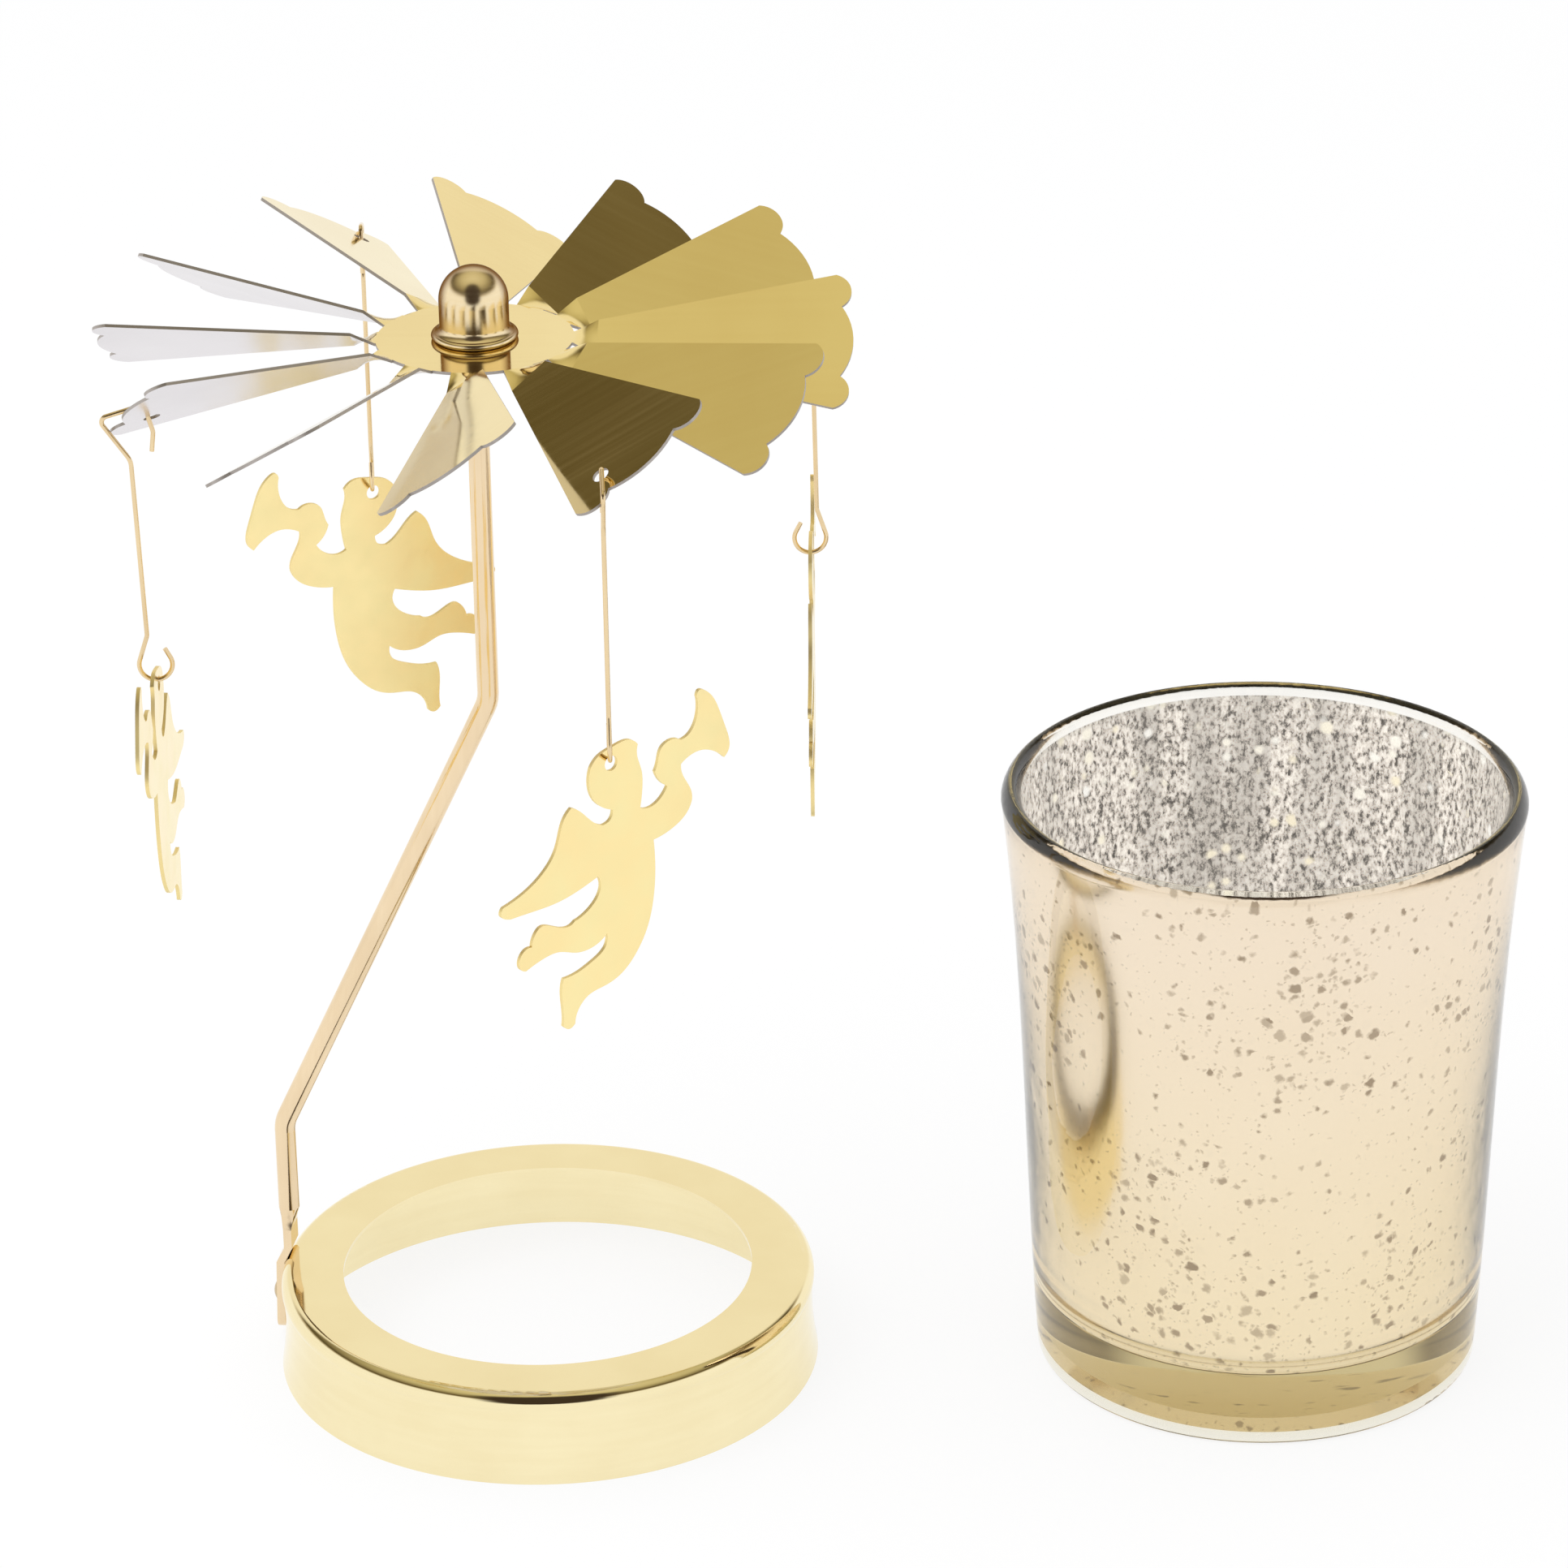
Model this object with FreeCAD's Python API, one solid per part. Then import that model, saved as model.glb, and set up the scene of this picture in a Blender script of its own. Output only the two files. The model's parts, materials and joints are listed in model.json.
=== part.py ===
import FreeCAD, Part
import math
import os

os.makedirs("parts", exist_ok=True)
V = FreeCAD.Vector

# The origin is the centre of the base ring on the table, +Z is up, and -Y faces the viewer.
# Lengths are millimetres and angles are degrees.
UP = V(0, 0, 1)
ORIGIN = V(0, 0, 0)

# Base ring, one drawn cup of sheet with its middle punched out
ring_height = 13.0
ring_rim_r = 36.0
ring_foot_flare = 0.35
ring_waist_in = 0.3
ring_waist_z = 8.6
ring_top_wide = 8.4
ring_sheet = 0.5
ring_rim_round = 1.6
ring_rim_tuck_deg = 28.0

# Post, one bent rod that is beaten flat at its foot
rod_d = 2.8
post_azimuth_deg = 171.0
post_foot_in = 0.55
post_low_bend_z = 32.4
post_high_bend_z = 95.9
post_bend_r = 5.0
post_flat_thick = 1.1
post_flat_wide = 4.0
post_flat_start_z = 19.5
post_flat_full_z = 16.8
post_flat_end_z = 1.2
post_step_drop = 2.2
post_step_above_rim = 1.0
post_to_ring_gap = 0.05
post_top_chamfer = 0.6

# Rivet that holds the foot of the post to the ring
rivet_r = 0.9
rivet_z = 6.6
rivet_head_r = 1.6
rivet_head_high = 0.7
rivet_clench_r = 1.5
rivet_clench_high = 0.6
rivet_hole_gap = 0.03
rivet_clench_gap = 0.1

# Fan wheel, one pressed sheet with its blades twisted by hand
axis_u = 5.3
hub_z = 146.0
fan_sheet = 0.4
hub_r = 12.6
hub_hole_r = 2.85
blade_count = 12
blade_first_azimuth_deg = -2.2
neck_long = 3.0
neck_half_wide = 2.05
blade_tip_r = 48.0
blade_half_wide = 10.3
tip_to_side = 2.4
tip_to_lobe = 0.5
tip_to_notch = 1.6
lobe_wide_share = 0.815
notch_wide_share = 0.524
blade_twists_deg = [34.0, 35.0, 34.5, 30.0, 29.0, 33.0, 33.0, 36.0, 32.5, 34.5, 34.0, 34.0]
blade_lifts_deg = [-1.0, 1.9, 0.0, 0.8, 2.8, 0.5, -0.8, -1.0, -0.5, 0.8, -1.0, -1.5]
hanger_sides = ["right", "back", "left", "front"]
hanger_hole_r = 1.1
tip_to_hanger_hole = 4.9
hanger_hole_wide_share = 0.447

# Cap on top of the hub, with the bearing inside and a washer below
cap_dome_r = 4.45
cap_high = 9.8
cap_brim_r = 5.55
cap_brim_thick = 1.0
cap_flare_high = 1.1
cap_stem_gap = 0.05
cap_stem_lip = 0.5
cap_stem_lip_high = 0.6
cap_bore_gap = 0.35
cap_bore_depth = 5.6
washer_r = 4.6
washer_thick = 0.8
washer_gap = 0.03
seat_r = 1.6
seat_high = 1.6
seat_gap = 0.02
seat_dimple_deep = 0.9
seat_dimple_r = 0.9
needle_r = 0.6
needle_bury = 3.0
needle_out = 2.2
needle_cone_high = 1.2
needle_tip_r = 0.05
needle_tip_gap = 0.12
needle_hole_gap = 0.01

# Hanger, one bent wire with a hook above and an open eye below
wire_d = 0.6
hanger_yaw_deg = -20.0
hanger_pivot_s = 0.5
hook_tail_s = 0.2
hook_tail_z = -4.7
hook_tail_bend_s = -0.1
hook_tail_bend_z = -2.1
hook_arch_in_s = 0.9
hook_arch_in_z = 1.5
hook_past_tip = 1.8
hook_arch_out_z = -0.2
hook_kink_s = 2.9
hook_kink_z = -5.9
hook_tail_bend_r = 1.5
hook_arch_in_r = 0.7
hook_arch_out_r = 0.8
hook_kink_r = 2.5
shank_end_s = 2.2
shank_end_z = -29.7
shank_end_bend_r = 1.2
eye_s = 1.3
eye_z = -33.7
eye_r = 2.1
eye_end_deg = 152.0
eye_end_straight = 1.3
front_longer = 1.3
back_longer = 0.2
right_shorter = 0.4
right_eye_out = 1.0

# Angel, a flat cut-out of sheet that hangs in the eye by the hole in its head
angel_sheet = 0.5
angel_hole_r = 1.0
angel_wire_gap = 0.2
angel_high = 39.0
angel_turns_deg = {"front": 37.0, "left": -6.0, "back": 26.5, "right": -4.5}

# Outline of the angel as shares of its height, across and up from the hole in its head.
# Each entry is one smooth stretch, and the stretches meet at corners.
angel_outline_shares = [
    [(0.355, 0.128), (0.352, 0.052), (0.322, 0.008), (0.285, -0.004)],
    [(0.285, -0.004), (0.240, 0.008), (0.206, -0.008), (0.190, -0.050), (0.176, -0.082)],
    [(0.176, -0.082), (0.196, -0.122), (0.226, -0.148)],
    [(0.226, -0.148), (0.204, -0.176), (0.156, -0.200), (0.113, -0.190)],
    [(0.113, -0.190), (0.123, -0.130), (0.122, -0.060), (0.106, -0.004), (0.110, 0.034)],
    [(0.110, 0.034), (0.062, 0.062), (0.012, 0.056), (-0.040, 0.044), (-0.082, 0.008)],
    [(-0.082, 0.008), (-0.092, -0.046), (-0.078, -0.100), (-0.042, -0.140), (0.002, -0.162)],
    [(0.002, -0.162), (-0.006, -0.190), (-0.040, -0.204)],
    [(-0.040, -0.204), (-0.088, -0.172), (-0.128, -0.130), (-0.164, -0.106)],
    [(-0.164, -0.106), (-0.200, -0.146), (-0.228, -0.226), (-0.296, -0.304), (-0.376, -0.346),
     (-0.448, -0.366)],
    [(-0.448, -0.366), (-0.458, -0.386), (-0.420, -0.414)],
    [(-0.420, -0.414), (-0.330, -0.416), (-0.220, -0.414), (-0.138, -0.398), (-0.066, -0.376)],
    [(-0.066, -0.376), (-0.056, -0.418), (-0.100, -0.476), (-0.164, -0.502)],
    [(-0.164, -0.502), (-0.246, -0.496), (-0.304, -0.480), (-0.330, -0.506), (-0.340, -0.538)],
    [(-0.340, -0.538), (-0.384, -0.556), (-0.392, -0.592), (-0.366, -0.614)],
    [(-0.366, -0.614), (-0.300, -0.594), (-0.232, -0.590), (-0.164, -0.614), (-0.108, -0.618),
     (-0.036, -0.586)],
    [(-0.036, -0.586), (-0.044, -0.632), (-0.104, -0.668), (-0.160, -0.686), (-0.216, -0.690)],
    [(-0.216, -0.690), (-0.226, -0.740), (-0.222, -0.800), (-0.224, -0.858)],
    [(-0.224, -0.858), (-0.198, -0.874), (-0.176, -0.862)],
    [(-0.176, -0.862), (-0.156, -0.810), (-0.118, -0.780), (-0.050, -0.768), (0.016, -0.748),
     (0.084, -0.690), (0.132, -0.612), (0.158, -0.520), (0.168, -0.420), (0.164, -0.318)],
    [(0.164, -0.318), (0.196, -0.314), (0.246, -0.300), (0.300, -0.268), (0.326, -0.224)],
    [(0.326, -0.224), (0.314, -0.172), (0.290, -0.128), (0.284, -0.088)],
    [(0.284, -0.088), (0.320, -0.070), (0.362, -0.064), (0.410, -0.078), (0.462, -0.118)],
    [(0.462, -0.118), (0.482, -0.096), (0.470, -0.012), (0.440, 0.070), (0.398, 0.132),
     (0.366, 0.146), (0.355, 0.128)],
]

# Glass cup, pressed glass that stands beside the ring and drops onto it in use
cup_x = 95.8
cup_y = 0.0
cup_high = 82.6
cup_foot_r = 29.6
cup_middle_r = 31.55
cup_shoulder_r = 34.15
cup_rim_r = 34.4
cup_rim_drop = 2.2
cup_wall = 2.6
cup_floor = 9.0
cup_inner_round = 4.0
cup_edge_round = 1.2
cup_punt_r = 23.0
cup_punt_deep = 1.2
cup_punt_round = 3.0

# One overrun serves all cuts.
cut_over = 1.0


def mid(a, b):
    return (a + b) * 0.5


def rod_r():
    return rod_d / 2


def wire_r():
    return wire_d / 2


def spun(edges):
    """Turn a closed outline in the XZ plane about the Z axis."""
    face = Part.Face(Part.Wire(edges))
    return face.revolve(ORIGIN, UP, 360)


def line(a, b):
    return Part.LineSegment(a, b).toShape()


def arc3(a, b, c):
    return Part.Arc(a, b, c).toShape()


def smooth(points):
    curve = Part.BSplineCurve()
    curve.interpolate(points)
    return curve.toShape()


def on_circle(centre, radius, degrees):
    t = math.radians(degrees)
    return V(centre.x + radius * math.cos(t), 0, centre.z + radius * math.sin(t))


def closed_polygon(points):
    return Part.makePolygon(points + [points[0]])


def to_post(shape):
    """Turn what is drawn along +X to the side where the post stands."""
    shape.rotate(ORIGIN, UP, post_azimuth_deg)
    return shape


def axis_point(z):
    t = math.radians(post_azimuth_deg)
    return V(axis_u * math.cos(t), axis_u * math.sin(t), z)


def onto_axis(shape):
    shape.translate(axis_point(0))
    return shape


def bent_wire(points, radii, tail_edges=()):
    """Straight runs through the points of a plane path, joined by tangent arcs."""
    edges = []
    start = points[0]
    for i in range(1, len(points) - 1):
        before = (points[i - 1] - points[i]).normalize()
        after = (points[i + 1] - points[i]).normalize()
        half = before.getAngle(after) / 2
        reach = radii[i - 1] / math.tan(half)
        a = points[i] + before * reach
        b = points[i] + after * reach
        inward = (before + after).normalize()
        centre = points[i] + inward * (radii[i - 1] / math.sin(half))
        edges.append(line(start, a))
        edges.append(arc3(a, centre - inward * radii[i - 1], b))
        start = b
    edges.append(line(start, points[-1]))
    return Part.Wire(edges + list(tail_edges))


def round_sweep(path, radius):
    first = path.Edges[0]
    begin = first.valueAt(first.FirstParameter)
    heading = first.tangentAt(first.FirstParameter)
    section = Part.Wire(Part.makeCircle(radius, begin, heading))
    return path.makePipeShell([section], True, False)


# Base ring
def ring_foot_r():
    return ring_rim_r + ring_foot_flare


def ring_waist_r():
    return ring_rim_r - ring_waist_in


def ring_hole_r():
    return ring_rim_r - ring_top_wide


def ring_side(inset):
    """The skirt and the rolled rim, seen in section, at a depth inside the outer face."""
    roll = V(ring_rim_r - ring_rim_round, 0, ring_height - ring_rim_round)
    r = ring_rim_round - inset
    tuck = on_circle(roll, r, -ring_rim_tuck_deg)
    foot = V(ring_foot_r() - inset, 0, 0)
    waist = V(ring_waist_r() - inset, 0, ring_waist_z)
    skirt = smooth([foot, waist, tuck])
    rim = arc3(tuck, on_circle(roll, r, 0), on_circle(roll, r, 90))
    return foot, [skirt, rim], on_circle(roll, r, 90)


def rivet_hole(radius):
    hole = Part.makeCylinder(radius, ring_foot_r() - ring_hole_r(), V(ring_hole_r(), 0, rivet_z), V(1, 0, 0))
    return to_post(hole)


def base_ring():
    foot_out, side_out, top_out = ring_side(0)
    foot_in, side_in, top_in = ring_side(ring_sheet)
    edge_top = V(ring_hole_r(), 0, ring_height)
    edge_low = V(ring_hole_r(), 0, ring_height - ring_sheet)
    edges = side_out + [line(top_out, edge_top), line(edge_top, edge_low), line(edge_low, top_in)]
    edges += list(reversed(side_in)) + [line(foot_in, foot_out)]
    ring = spun(Part.__sortEdges__(edges))
    return ring.cut(rivet_hole(rivet_r + rivet_hole_gap))


# Post
def post_foot_u():
    return ring_rim_r - post_foot_in


def post_top_z():
    return hub_z + cap_bore_depth - needle_out - needle_tip_gap


def flat_middle():
    """The beaten foot's middle line: down to the rim, a step out, then down the flared skirt."""
    half = post_flat_thick / 2
    rim_u = ring_rim_r + post_to_ring_gap + half
    foot_u = ring_foot_r() + post_to_ring_gap + half
    step_top = ring_height + post_step_above_rim
    step_low = step_top - post_step_drop
    return [(post_foot_u(), post_flat_full_z), (post_foot_u(), step_top), (rim_u, step_low),
            (foot_u, post_flat_end_z)]


def flat_outer_u(z):
    (high_u, high_z), (low_u, low_z) = flat_middle()[2:]
    share = (high_z - z) / (high_z - low_z)
    return high_u + (low_u - high_u) * share + post_flat_thick / 2


def flat_outline():
    half = post_flat_thick / 2
    middle = flat_middle()
    inner = [V(u - half, 0, z) for u, z in middle]
    outer = [V(u + half, 0, z) for u, z in reversed(middle)]
    return inner + outer


def foot_flat():
    half_wide = post_flat_wide / 2
    strip = Part.Face(closed_polygon(flat_outline()))
    strip.translate(V(0, half_wide, 0))
    strip = strip.extrude(V(0, -post_flat_wide, 0))
    round_z = post_flat_end_z + half_wide
    reach = V(post_foot_u() - post_flat_thick * 2, 0, 0)
    length = post_flat_thick * 6
    tip = Part.makeCylinder(half_wide, length, reach + V(0, 0, round_z), V(1, 0, 0))
    above = Part.makeBox(length, post_flat_wide, post_flat_full_z - round_z,
                         reach + V(0, -half_wide, round_z))
    return strip.common(tip.fuse(above))


def foot_taper():
    """The rod goes from round to flat, each quarter of the round to one side of the flat."""
    centre = V(post_foot_u(), 0, post_flat_start_z)
    corners = []
    middles = []
    for i in range(4):
        t = math.radians(45 + 90 * i)
        corners.append(centre + V(math.cos(t), math.sin(t), 0) * rod_r())
        t = math.radians(90 + 90 * i)
        middles.append(centre + V(math.cos(t), math.sin(t), 0) * rod_r())
    ring = [arc3(corners[i], middles[i], corners[(i + 1) % 4]) for i in range(4)]
    signs = [(1, 1), (-1, 1), (-1, -1), (1, -1)]
    flat = [V(post_foot_u() + sx * post_flat_thick / 2, sy * post_flat_wide / 2, post_flat_full_z)
            for sx, sy in signs]
    low = closed_polygon(flat)
    return Part.makeLoft([Part.Wire(ring), low], True, True)


def post():
    top = V(axis_u, 0, post_top_z())
    path = bent_wire([V(post_foot_u(), 0, post_flat_start_z), V(post_foot_u(), 0, post_low_bend_z),
                      V(axis_u, 0, post_high_bend_z), top], [post_bend_r, post_bend_r])
    rod = round_sweep(path, rod_r())
    nose_r = rod_r() - post_top_chamfer
    shoulder = top - V(0, 0, post_top_chamfer)
    blank = Part.makeCylinder(rod_r() + cut_over, post_top_chamfer + cut_over, shoulder)
    nose = Part.makeCone(rod_r(), nose_r, post_top_chamfer, shoulder)
    rod = rod.cut(blank.cut(nose))
    needle_hole = Part.makeCylinder(needle_r + needle_hole_gap, needle_bury + cut_over,
                                    top - V(0, 0, needle_bury))
    rod = rod.cut(needle_hole)
    whole = to_post(rod.fuse([foot_taper(), foot_flat()]).removeSplitter())
    return whole.cut(rivet_hole_in_flat())


def rivet_hole_in_flat():
    hole = Part.makeCylinder(rivet_r + rivet_hole_gap, post_flat_thick * 3,
                             V(ring_rim_r - post_flat_thick, 0, rivet_z), V(1, 0, 0))
    return to_post(hole)


def foot_rivet():
    outside = flat_outer_u(rivet_z - rivet_head_r)
    inside = ring_waist_r() - ring_sheet - rivet_clench_gap
    shank = Part.makeCylinder(rivet_r, outside - inside, V(inside, 0, rivet_z), V(1, 0, 0))
    crown_r = (rivet_head_r ** 2 + rivet_head_high ** 2) / (2 * rivet_head_high)
    ball = Part.makeSphere(crown_r, V(outside + rivet_head_high - crown_r, 0, rivet_z))
    keep = Part.makeCylinder(rivet_head_r, rivet_head_high, V(outside, 0, rivet_z), V(1, 0, 0))
    head = ball.common(keep)
    clench = Part.makeCylinder(rivet_clench_r, rivet_clench_high,
                               V(inside - rivet_clench_high, 0, rivet_z), V(1, 0, 0))
    return to_post(shank.fuse([head, clench]).removeSplitter())


# Pivot
def pivot_needle():
    top_z = post_top_z()
    shank_high = needle_bury + needle_out - needle_cone_high
    shank = Part.makeCylinder(needle_r, shank_high, V(0, 0, top_z - needle_bury))
    cone = Part.makeCone(needle_r, needle_tip_r, needle_cone_high,
                         V(0, 0, top_z + needle_out - needle_cone_high))
    return onto_axis(shank.fuse(cone).removeSplitter())


def bearing_cup():
    low = hub_z + cap_bore_depth - seat_dimple_deep
    cup = Part.makeCylinder(seat_r - seat_gap, seat_high, V(0, 0, low))
    dimple = Part.makeCone(seat_dimple_r, 0, seat_dimple_deep, V(0, 0, low))
    return onto_axis(cup.cut(dimple))


def cap_outline():
    """The cap's outer face in section, from under the brim to the top of the dome."""
    brim_low = fan_sheet / 2
    half = cap_brim_thick / 2
    brim_mid = brim_low + half
    round_centre = V(cap_brim_r - half, 0, brim_mid)
    brim = arc3(on_circle(round_centre, half, -90), on_circle(round_centre, half, 0),
                on_circle(round_centre, half, 90))
    flare_top = V(cap_dome_r, 0, brim_low + cap_brim_thick + cap_flare_high)
    flare_low = on_circle(round_centre, half, 90)
    flare_share = 0.32
    flare_mid = V(cap_dome_r + (flare_low.x - cap_dome_r) * flare_share, 0,
                  flare_low.z + cap_flare_high * flare_share)
    flare = arc3(flare_low, flare_mid, flare_top)
    dome_centre = V(0, 0, cap_high - cap_dome_r)
    wall = line(flare_top, on_circle(dome_centre, cap_dome_r, 0))
    dome = arc3(on_circle(dome_centre, cap_dome_r, 0), on_circle(dome_centre, cap_dome_r, 45),
                on_circle(dome_centre, cap_dome_r, 90))
    return [brim, flare, wall, dome]


def pivot_cap():
    stem_r = hub_hole_r - cap_stem_gap
    low = -fan_sheet / 2 - washer_thick - cap_stem_lip_high
    lip_r = stem_r + cap_stem_lip
    lip_top = low + cap_stem_lip_high
    under_brim = fan_sheet / 2
    brim_start = V(cap_brim_r - cap_brim_thick / 2, 0, under_brim)
    edges = cap_outline()
    edges.append(line(V(0, 0, cap_high), V(0, 0, low)))
    edges.append(line(V(0, 0, low), V(lip_r, 0, low)))
    edges.append(line(V(lip_r, 0, low), V(lip_r, 0, lip_top)))
    edges.append(line(V(lip_r, 0, lip_top), V(stem_r, 0, lip_top)))
    edges.append(line(V(stem_r, 0, lip_top), V(stem_r, 0, under_brim)))
    edges.append(line(V(stem_r, 0, under_brim), brim_start))
    cap = spun(Part.__sortEdges__(edges))
    bore_r = rod_r() + cap_bore_gap
    pocket_low = cap_bore_depth - seat_dimple_deep
    bore = Part.makeCylinder(bore_r, pocket_low - low + cut_over, V(0, 0, low - cut_over))
    pocket = Part.makeCylinder(seat_r, pocket_low + seat_high, ORIGIN)
    cap = cap.cut(bore.fuse(pocket))
    cap.translate(V(0, 0, hub_z))
    return onto_axis(cap)


def hub_washer():
    low = hub_z - fan_sheet / 2 - washer_thick
    disc = Part.makeCylinder(washer_r, washer_thick, V(0, 0, low))
    hole_r = hub_hole_r - cap_stem_gap + washer_gap
    hole = Part.makeCylinder(hole_r, washer_thick + cut_over * 2, V(0, 0, low - cut_over))
    return onto_axis(disc.cut(hole))


# Fan
def blade_azimuth(k):
    return blade_first_azimuth_deg + k * 360 / blade_count


def hanger_blade(side):
    """Every third blade carries a hanger, from the second one on."""
    step = blade_count // len(hanger_sides)
    return 1 + step * hanger_sides.index(side)


def neck_end_r():
    return hub_r + neck_long


def side_r():
    return blade_tip_r - tip_to_side


def hanger_hole_r_out():
    return blade_tip_r - tip_to_hanger_hole


def hanger_hole_aside():
    return -blade_half_wide * hanger_hole_wide_share


def half_wide_at(r):
    """The blade's sides run straight from the hub to the outer lobes."""
    slope = (blade_half_wide - neck_half_wide) / (side_r() - hub_r)
    return neck_half_wide + slope * (r - hub_r)


def set_blade(shape, k):
    """Twist a flat blade about its own middle line, lift it at the hub and turn it to its place."""
    shape.rotate(ORIGIN, V(1, 0, 0), blade_twists_deg[k])
    shape.rotate(V(hub_r, 0, 0), V(0, -1, 0), blade_lifts_deg[k])
    shape.rotate(ORIGIN, UP, blade_azimuth(k))
    shape.translate(axis_point(hub_z))
    return shape


def blade_point(k, r, aside):
    spot = set_blade(Part.Vertex(V(r, aside, 0)), k)
    return spot.Point


def neck_section(r):
    half = fan_sheet / 2
    wide = half_wide_at(r)
    return closed_polygon([V(r, wide, half), V(r, -wide, half), V(r, -wide, -half), V(r, wide, -half)])


def blade_edges():
    """The flat blade's outline: straight sides and a tip of one wide and two narrow lobes."""
    root = half_wide_at(neck_end_r())
    notch_r = blade_tip_r - tip_to_notch
    notch_wide = blade_half_wide * notch_wide_share
    lobe_r = blade_tip_r - tip_to_lobe
    lobe_wide = blade_half_wide * lobe_wide_share
    halves = []
    for side in (1, -1):
        side_end = V(side_r(), blade_half_wide * side, 0)
        notch = V(notch_r, notch_wide * side, 0)
        halves.append(line(V(neck_end_r(), root * side, 0), side_end))
        halves.append(arc3(side_end, V(lobe_r, lobe_wide * side, 0), notch))
    middle = arc3(V(notch_r, notch_wide, 0), V(blade_tip_r, 0, 0), V(notch_r, -notch_wide, 0))
    inner = line(V(neck_end_r(), root, 0), V(neck_end_r(), -root, 0))
    return halves + [middle, inner]


def blade(k):
    plate = Part.Face(Part.Wire(Part.__sortEdges__(blade_edges())))
    plate.translate(V(0, 0, -fan_sheet / 2))
    plate = plate.extrude(V(0, 0, fan_sheet))
    if k in [hanger_blade(side) for side in hanger_sides]:
        at = V(hanger_hole_r_out(), hanger_hole_aside(), -cut_over)
        plate = plate.cut(Part.makeCylinder(hanger_hole_r, cut_over * 2, at))
    plate = set_blade(plate, k)
    start = neck_section(hub_r)
    start.rotate(ORIGIN, UP, blade_azimuth(k))
    start.translate(axis_point(hub_z))
    end = set_blade(neck_section(neck_end_r()), k)
    neck = Part.makeLoft([start, end], True, True)
    root_long = hub_r / 4
    half = half_wide_at(hub_r)
    root = Part.makeBox(root_long, half * 2, fan_sheet, V(hub_r - root_long, -half, -fan_sheet / 2))
    root.rotate(ORIGIN, UP, blade_azimuth(k))
    root.translate(axis_point(hub_z))
    return [plate, neck, root]


def fan():
    disc = Part.makeCylinder(hub_r, fan_sheet, V(0, 0, -fan_sheet / 2))
    hole = Part.makeCylinder(hub_hole_r, cut_over * 2, V(0, 0, -cut_over))
    disc = disc.cut(hole)
    disc.translate(axis_point(hub_z))
    pieces = []
    for k in range(blade_count):
        pieces += blade(k)
    return disc.fuse(pieces).removeSplitter()


# Hangers and angels
def hole_place(side):
    return blade_point(hanger_blade(side), hanger_hole_r_out(), hanger_hole_aside())


def hanger_azimuth(side):
    place = hole_place(side) - axis_point(0)
    return math.degrees(math.atan2(place.y, place.x)) + hanger_yaw_deg


def to_hole(shape, side):
    shape.rotate(ORIGIN, UP, hanger_azimuth(side))
    shape.translate(hole_place(side))
    return shape


def hanger_shift(side):
    """Each wire was bent by hand, so its eye sits a little lower or further out."""
    shifts = {"front": V(0, 0, -front_longer), "back": V(0, 0, -back_longer),
              "left": V(0, 0, 0), "right": V(right_eye_out, 0, right_shorter)}
    return shifts[side]


def eye_path(side):
    """The kink below the shank, the open eye and its short straight end."""
    centre = V(eye_s, 0, eye_z) + hanger_shift(side)
    start = V(shank_end_s, 0, shank_end_z) + hanger_shift(side)
    away = start - centre
    lean = math.degrees(math.atan2(away.z, away.x))
    spread = math.degrees(math.acos(eye_r / away.Length))
    touch_deg = lean - spread
    touch = on_circle(centre, eye_r, touch_deg)
    stop_deg = eye_end_deg - 360
    stop = on_circle(centre, eye_r, stop_deg)
    half_way = on_circle(centre, eye_r, mid(touch_deg, stop_deg))
    ahead = V(math.sin(math.radians(eye_end_deg)), 0, -math.cos(math.radians(eye_end_deg)))
    return start, touch, [arc3(touch, half_way, stop), line(stop, stop + ahead * eye_end_straight)]


def hanger(side):
    shank_end, touch, eye = eye_path(side)
    arch_out_s = tip_to_hanger_hole + hook_past_tip
    points = [V(hook_tail_s, 0, hook_tail_z), V(hook_tail_bend_s, 0, hook_tail_bend_z),
              V(hook_arch_in_s, 0, hook_arch_in_z), V(arch_out_s, 0, hook_arch_out_z),
              V(hook_kink_s, 0, hook_kink_z), shank_end, touch]
    radii = [hook_tail_bend_r, hook_arch_in_r, hook_arch_out_r, hook_kink_r, shank_end_bend_r]
    wire = round_sweep(bent_wire(points, radii, eye), wire_r())
    return to_hole(wire, side)


def angel_pivot(side):
    bottom = V(eye_s, 0, eye_z - eye_r) + hanger_shift(side)
    spot = to_hole(Part.Vertex(bottom), side)
    return spot.Point


def angel_pivot_above_hole():
    return angel_hole_r - wire_r() - angel_wire_gap


def angel(side):
    edges = []
    for stretch in angel_outline_shares:
        edges.append(smooth([V(a * angel_high, 0, b * angel_high) for a, b in stretch]))
    plate = Part.Face(Part.Wire(edges))
    plate.translate(V(0, angel_sheet / 2, 0))
    plate = plate.extrude(V(0, -angel_sheet, 0))
    hole = Part.makeCylinder(angel_hole_r, cut_over * 2, V(0, -cut_over, 0), V(0, 1, 0))
    plate = plate.cut(hole)
    plate.translate(V(0, 0, -angel_pivot_above_hole()))
    plate.rotate(ORIGIN, UP, hanger_azimuth(side) + 90 + angel_turns_deg[side])
    plate.translate(angel_pivot(side))
    return plate


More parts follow.
